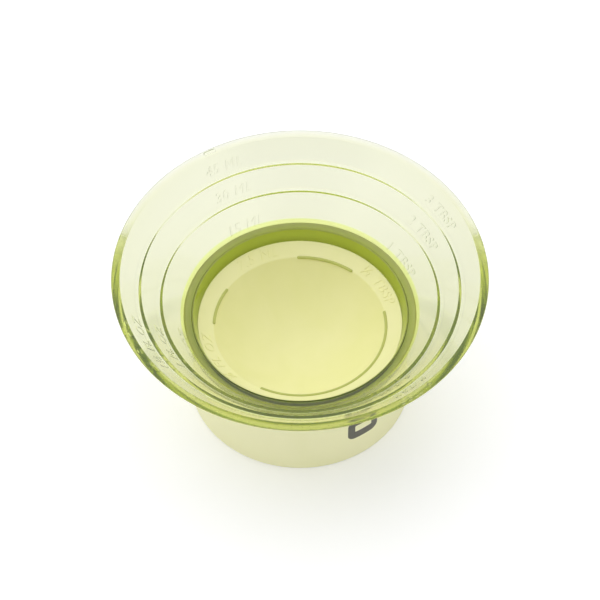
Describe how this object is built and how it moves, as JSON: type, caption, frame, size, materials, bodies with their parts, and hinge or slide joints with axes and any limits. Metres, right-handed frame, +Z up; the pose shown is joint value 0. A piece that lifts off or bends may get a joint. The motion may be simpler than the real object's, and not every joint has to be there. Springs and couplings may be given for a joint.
{
  "type": "measuring canning funnel",
  "caption": "Clear stepped cone funnel with measuring ledges and a neck tube, standing in a pale cylindrical sleeve, with a soft pale bowl that plugs the tube and pushes up and out.",
  "frame": {"origin": "centre of the sleeve's foot, on the surface it stands on", "axes": "+Z up along the funnel's axis, out of its mouth; -Y towards the side it is usually seen from"},
  "size_m": [0.084, 0.084, 0.0392],
  "materials": {
    "clear_plastic": "clear lime-green moulded plastic, polished",
    "sleeve_plastic": "opaque pale green moulded plastic, satin, with one dark printed mark",
    "bowl_silicone": "soft pale green silicone, matte"
  },
  "bodies": {
    "sleeve": {"base_sleeve": "sleeve_plastic"},
    "funnel": {"clear_funnel": "clear_plastic"},
    "bowl": {"measuring_bowl": "bowl_silicone"}
  },
  "joints": [
    {"name": "funnel_lift", "type": "slide", "parent": "sleeve", "child": "funnel", "axis": [0, 0, 1], "range_m": [0, 0.03]},
    {"name": "bowl_lift", "type": "slide", "parent": "funnel", "child": "bowl", "axis": [0, 0, 1], "range_m": [0, 0.03]}
  ]
}
